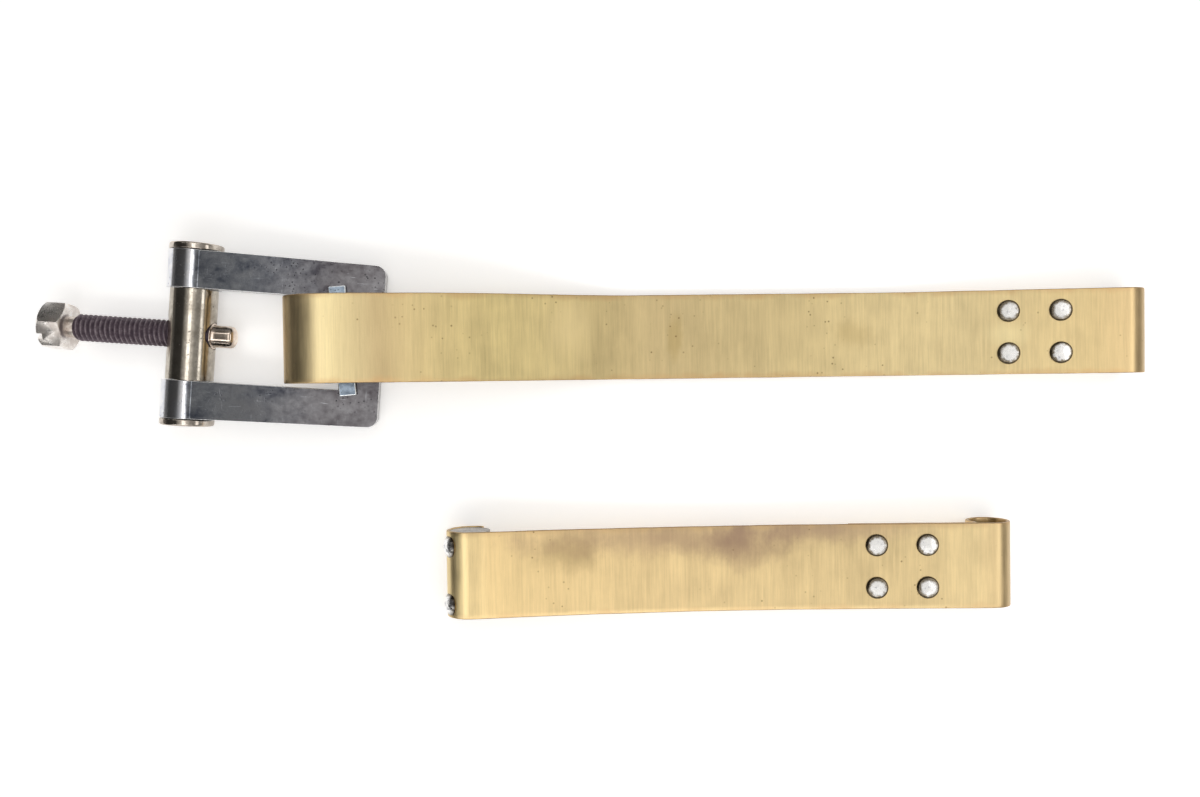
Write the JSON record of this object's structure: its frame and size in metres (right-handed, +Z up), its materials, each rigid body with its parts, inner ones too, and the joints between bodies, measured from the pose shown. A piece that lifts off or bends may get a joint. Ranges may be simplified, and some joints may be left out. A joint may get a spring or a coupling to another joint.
{
  "type": "door closer",
  "caption": "Screw-tensioned two-strap brass closer: a looped strap with swinging yoke, trunnion and tension screw, and a short strap with rolled eye and end bar.",
  "frame": {"origin": "midway along and across the laid-out set, on the surface it lies on", "axes": "+X along both straps towards the anchor eyes, +Y from the short strap to the long strap, +Z up off the surface"},
  "size_m": [0.327, 0.1113, 0.021],
  "materials": {
    "brass_long": "crosswise brushed, lightly tarnished",
    "brass_short": "satin, light tarnish along one edge",
    "rivet_steel": "hammered heads",
    "nickel_yoke": "nickel plated, worn and pitted",
    "nickel_barrel": "nickel plated, warm and worn",
    "nickel_pin": "nickel plated",
    "screw_steel": "oxidised thread, bright plated head",
    "tip_steel": "bright turned",
    "key_steel": "ground, bright edges",
    "bar_steel": "turned"
  },
  "bodies": {
    "long_strap": {"strap_long": "brass_long", "rivet_long_1": "rivet_steel", "rivet_long_2": "rivet_steel", "rivet_long_3": "rivet_steel", "rivet_long_4": "rivet_steel"},
    "yoke": {"yoke": "nickel_yoke"},
    "trunnion": {"trunnion": "nickel_barrel", "pivot_pin_upper": "nickel_pin", "pivot_pin_lower": "nickel_pin"},
    "thrust_tip": {"thrust_tip": "tip_steel"},
    "tension_screw": {"tension_screw": "screw_steel"},
    "cross_key": {"cross_key": "key_steel"},
    "short_strap": {"strap_short": "brass_short", "rivet_short_1": "rivet_steel", "rivet_short_2": "rivet_steel", "rivet_short_3": "rivet_steel", "rivet_short_4": "rivet_steel", "end_bar": "bar_steel", "rivet_bar_1": "rivet_steel", "rivet_bar_2": "rivet_steel"}
  },
  "joints": [
    {"name": "yoke_swing", "type": "hinge", "parent": "long_strap", "child": "yoke", "pos_m": [-0.06613, 0.02429, 0.00125], "axis": [0.0785, 0.9969, 0], "range_deg": [0, 20]},
    {"name": "key_slide", "type": "slide", "parent": "yoke", "child": "cross_key", "axis": [0.9903, -0.0779, -0.1149], "range_m": [-0.0045, 0.005]},
    {"name": "trunnion_tilt", "type": "hinge", "parent": "yoke", "child": "trunnion", "pos_m": [-0.12084, 0.0286, 0.0076], "axis": [0.0785, 0.9969, 0], "range_deg": [-90, 90]},
    {"name": "screw_advance", "type": "slide", "parent": "trunnion", "child": "thrust_tip", "axis": [0.9969, -0.0785, 0.0052], "range_m": [-0.00565, 0.01412]},
    {"name": "screw_turn", "type": "hinge", "parent": "thrust_tip", "child": "tension_screw", "pos_m": [-0.12084, 0.0286, 0.0076], "axis": [0.9969, -0.0785, 0.0052], "range_deg": [-1440, 3600]},
    {"name": "short_strap_lift", "type": "slide", "parent": "long_strap", "child": "short_strap", "axis": [0, 0, 1], "range_m": [0, 0.1]}
  ],
  "couplings": [
    {"joint": "screw_advance", "follows": "screw_turn", "m_per_rad": 0.00022457}
  ]
}
